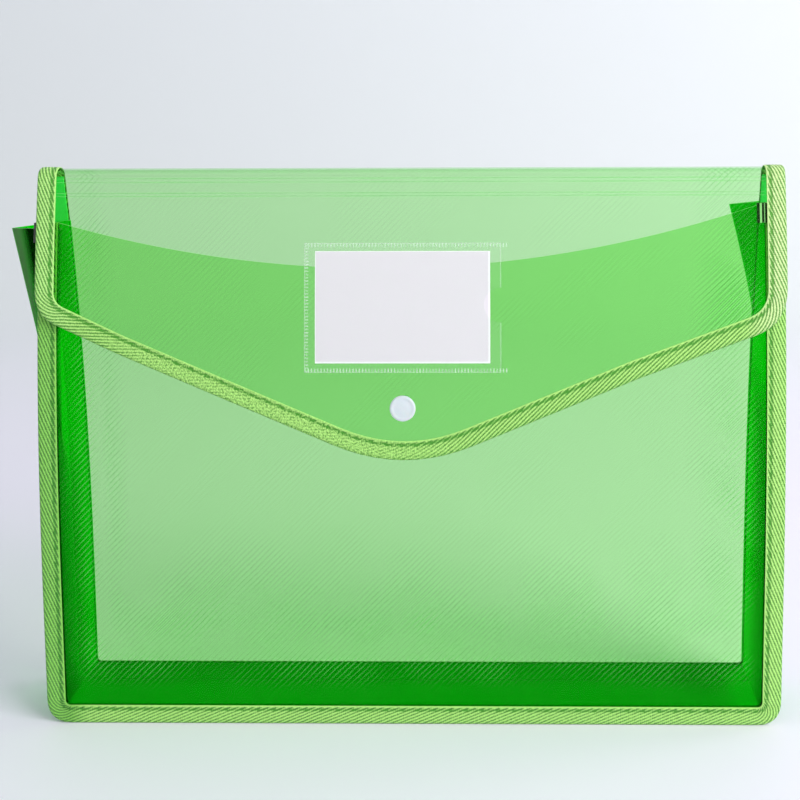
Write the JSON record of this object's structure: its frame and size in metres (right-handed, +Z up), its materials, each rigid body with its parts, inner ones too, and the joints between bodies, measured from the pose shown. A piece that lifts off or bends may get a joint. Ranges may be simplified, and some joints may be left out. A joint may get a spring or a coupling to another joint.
{
  "type": "document pouch",
  "caption": "Upright translucent green document pouch with a pleated gusset, woven tape edges, a pointed flap with a label pocket and a snap closure.",
  "frame": {"origin": "on the floor under the middle of the back seam, where the pouch stands", "axes": "+X to the right seen from the front, +Y towards the back, +Z up to the fold"},
  "size_m": [0.346, 0.0479, 0.25],
  "materials": {
    "sheet": "embossed translucent polypropylene",
    "gusset_film": "smooth glossy film",
    "tape": "woven herringbone tape",
    "window_film": "clear welded film",
    "card": "uncoated card",
    "clip_metal": "bright folded steel",
    "snap_plastic": "moulded white plastic"
  },
  "bodies": {
    "back": {"back_panel": "sheet", "back_binding": "tape", "left_gusset": "gusset_film", "right_gusset": "gusset_film", "bottom_gusset": "gusset_film"},
    "front": {"front_panel": "sheet", "front_binding": "tape", "left_clip": "clip_metal", "right_clip": "clip_metal", "snap_stud": "snap_plastic", "snap_stud_base": "snap_plastic"},
    "flap": {"flap_panel": "sheet", "flap_binding": "tape", "label_window": "window_film", "snap_cap": "snap_plastic", "snap_socket": "snap_plastic"},
    "card": {"label_card": "card"}
  },
  "joints": [
    {"name": "flap_fold", "type": "hinge", "parent": "back", "child": "flap", "pos_m": [0, -0.0234, 0.2503], "axis": [-1, 0, 0], "range_deg": [0, 180]},
    {"name": "mouth_open", "type": "hinge", "parent": "back", "child": "front", "pos_m": [0, -0.0434, 0.0065], "axis": [1, 0, 0], "range_deg": [0, 7], "deforming": ["left_gusset", "right_gusset"]},
    {"name": "card_slide", "type": "slide", "parent": "flap", "child": "card", "axis": [1, 0, 0], "range_m": [0, 0.055]}
  ],
  "couplings": [
    {"joint": "mouth_open", "follows": "flap_fold", "ratio": 0.0388}
  ]
}
